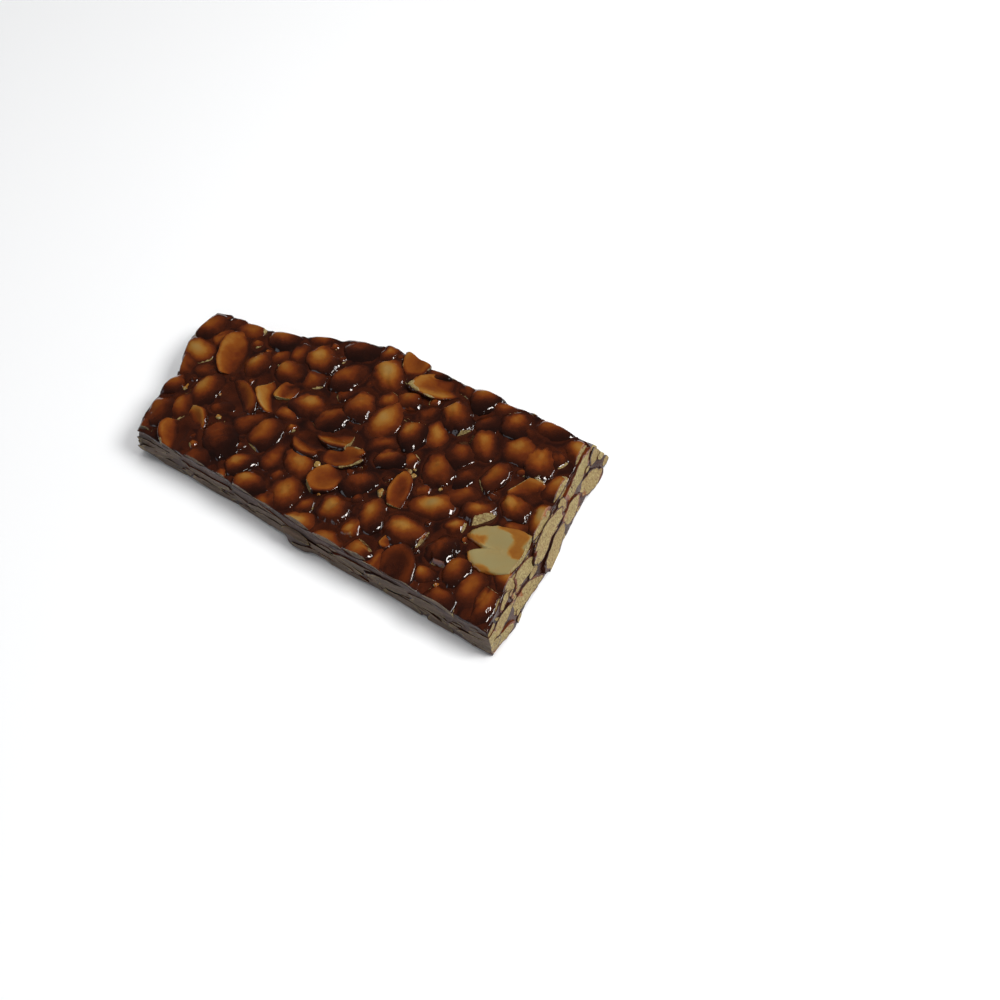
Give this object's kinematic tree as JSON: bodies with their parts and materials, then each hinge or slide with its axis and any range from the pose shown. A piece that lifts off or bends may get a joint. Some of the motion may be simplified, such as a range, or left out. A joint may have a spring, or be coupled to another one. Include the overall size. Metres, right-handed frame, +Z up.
{
  "type": "peanut brittle piece",
  "caption": "Flat, angular piece of peanut brittle: whole and split peanuts set in dark caramel, with cut and broken sides and a flat underside.",
  "frame": {"origin": "under the middle of the piece's bounding box, on its flat underside", "axes": "+X along the long cut side towards the cut end, +Z up out of the nut-studded top, +Y from the long cut side towards the broken back"},
  "size_m": [0.1276, 0.0644, 0.0105],
  "materials": {
    "caramel_and_peanuts": "hard glossy caramel, amber over the peanuts and dark brown between them, with pale cut nuts on the sides"
  },
  "bodies": {
    "root": {"peanut_brittle": "caramel_and_peanuts"}
  },
  "joints": []
}
